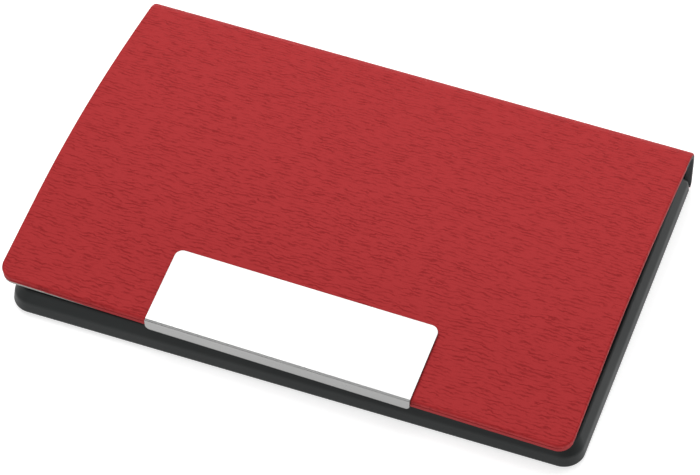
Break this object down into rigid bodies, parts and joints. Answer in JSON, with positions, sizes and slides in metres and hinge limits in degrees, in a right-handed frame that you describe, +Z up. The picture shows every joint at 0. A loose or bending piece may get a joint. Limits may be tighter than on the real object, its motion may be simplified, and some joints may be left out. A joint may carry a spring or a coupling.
{
  "type": "business card case",
  "caption": "Flat card case: a pressed metal tray wrapped by a one-piece leatherette cover, with a hinged spine, an arched flap and a blank metal plate at its front.",
  "frame": {"origin": "bottom centre of the closed case, on the surface it lies on", "axes": "+X along the case's length, +Y from the flap's front edge to the spine, +Z up"},
  "size_m": [0.0954, 0.0636, 0.0108],
  "materials": {
    "anthracite_paint": "satin anthracite coating on pressed steel",
    "red_leatherette": "matt, fine crepe grain, dark painted edges",
    "grey_board": "raw grey pasteboard",
    "black_lining": "matt black lining paper",
    "black_flock": "short black flock",
    "satin_steel": "fine satin, blank",
    "nickel": "bright nickel plating"
  },
  "bodies": {
    "base": {"tray": "anthracite_paint", "tray_liner": "black_flock", "base_leather": "red_leatherette"},
    "spine": {"spine_leather": "red_leatherette", "spine_liner": "black_lining"},
    "flap": {"flap_leather": "red_leatherette", "flap_board": "grey_board", "flap_liner": "black_lining", "name_plate": "satin_steel", "left_magnet": "nickel", "right_magnet": "nickel"}
  },
  "joints": [
    {"name": "spine_fold", "type": "hinge", "parent": "base", "child": "spine", "pos_m": [0.00059, 0.03034, 0.0004], "axis": [-0.9998, 0.0218, 0], "range_deg": [0, 90]},
    {"name": "flap_fold", "type": "hinge", "parent": "spine", "child": "flap", "pos_m": [0.00057, 0.02946, 0.00827], "axis": [-0.9998, 0.0218, 0], "range_deg": [0, 84]}
  ]
}
